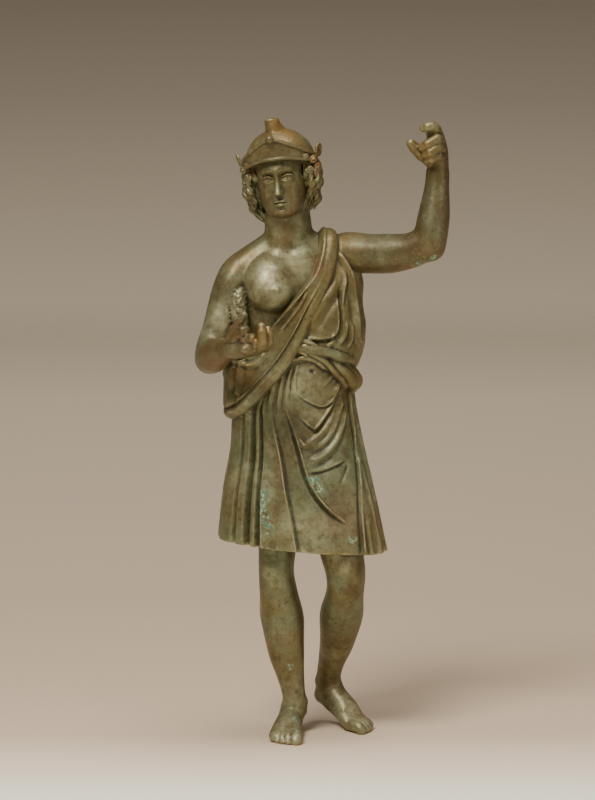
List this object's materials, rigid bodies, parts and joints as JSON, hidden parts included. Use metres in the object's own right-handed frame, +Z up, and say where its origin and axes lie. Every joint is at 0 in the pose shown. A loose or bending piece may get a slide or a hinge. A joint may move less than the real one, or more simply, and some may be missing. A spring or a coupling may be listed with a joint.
{
  "type": "roman goddess statuette",
  "caption": "Cast bronze statuette of a standing helmeted goddess, one arm raised and one forearm held out, in a short belted tunic with a rolled cloak.",
  "frame": {"origin": "middle of the sole of the right foot, which carries the weight, on the floor", "axes": "+X to the figure's left, which is the viewer's right; +Y behind the figure; +Z up"},
  "size_m": [0.1332, 0.0965, 0.3307],
  "materials": {
    "bronze": "old cast bronze with an olive to brown patina, satin, with pale worn ridges and small green spots"
  },
  "bodies": {
    "root": {"statuette": "bronze"}
  },
  "joints": []
}
